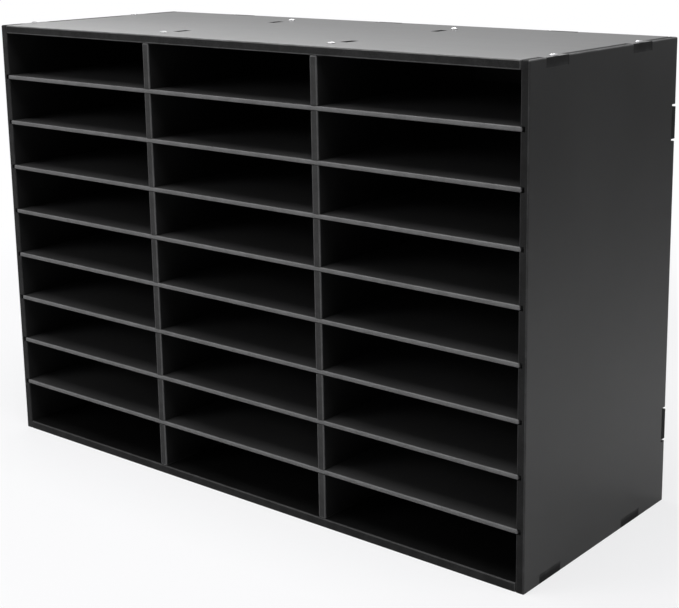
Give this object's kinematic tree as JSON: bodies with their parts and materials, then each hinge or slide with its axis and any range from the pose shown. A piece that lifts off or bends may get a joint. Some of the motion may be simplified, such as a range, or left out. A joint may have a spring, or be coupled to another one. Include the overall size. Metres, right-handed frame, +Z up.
{
  "type": "mail sorter",
  "caption": "Open-fronted tabletop sorter of flat boards: uprights and slide-in shelves divide it into flat compartments for letter-size paper and mail.",
  "frame": {"origin": "on the supporting surface, under the middle of the case", "axes": "+X to the viewer's right, +Y from the open front to the back panel, +Z up"},
  "size_m": [0.8, 0.299, 0.5443],
  "materials": {
    "case_board": "satin black laminate on board, with matt black edges",
    "shelf_board": "satin black laminate on thin board, with grey eased edges",
    "zinc_steel": "bright zinc plating"
  },
  "bodies": {
    "case": {"left_side": "case_board", "right_side": "case_board", "top_panel": "case_board", "bottom_panel": "case_board", "back_panel": "case_board", "left_divider": "case_board", "right_divider": "case_board", "top_side_screws": "zinc_steel", "top_divider_screws": "zinc_steel", "bottom_side_screws": "zinc_steel", "bottom_divider_screws": "zinc_steel"},
    "shelf_1": {"shelf_1": "shelf_board"},
    "shelf_2": {"shelf_2": "shelf_board"},
    "shelf_3": {"shelf_3": "shelf_board"},
    "shelf_4": {"shelf_4": "shelf_board"},
    "shelf_5": {"shelf_5": "shelf_board"},
    "shelf_6": {"shelf_6": "shelf_board"},
    "shelf_7": {"shelf_7": "shelf_board"},
    "shelf_8": {"shelf_8": "shelf_board"}
  },
  "joints": [
    {"name": "shelf_1_slide", "type": "slide", "parent": "case", "child": "shelf_1", "axis": [0, -1, 0], "range_m": [0, 0.3]},
    {"name": "shelf_2_slide", "type": "slide", "parent": "case", "child": "shelf_2", "axis": [0, -1, 0], "range_m": [0, 0.3]},
    {"name": "shelf_3_slide", "type": "slide", "parent": "case", "child": "shelf_3", "axis": [0, -1, 0], "range_m": [0, 0.3]},
    {"name": "shelf_4_slide", "type": "slide", "parent": "case", "child": "shelf_4", "axis": [0, -1, 0], "range_m": [0, 0.3]},
    {"name": "shelf_5_slide", "type": "slide", "parent": "case", "child": "shelf_5", "axis": [0, -1, 0], "range_m": [0, 0.3]},
    {"name": "shelf_6_slide", "type": "slide", "parent": "case", "child": "shelf_6", "axis": [0, -1, 0], "range_m": [0, 0.3]},
    {"name": "shelf_7_slide", "type": "slide", "parent": "case", "child": "shelf_7", "axis": [0, -1, 0], "range_m": [0, 0.3]},
    {"name": "shelf_8_slide", "type": "slide", "parent": "case", "child": "shelf_8", "axis": [0, -1, 0], "range_m": [0, 0.3]}
  ]
}
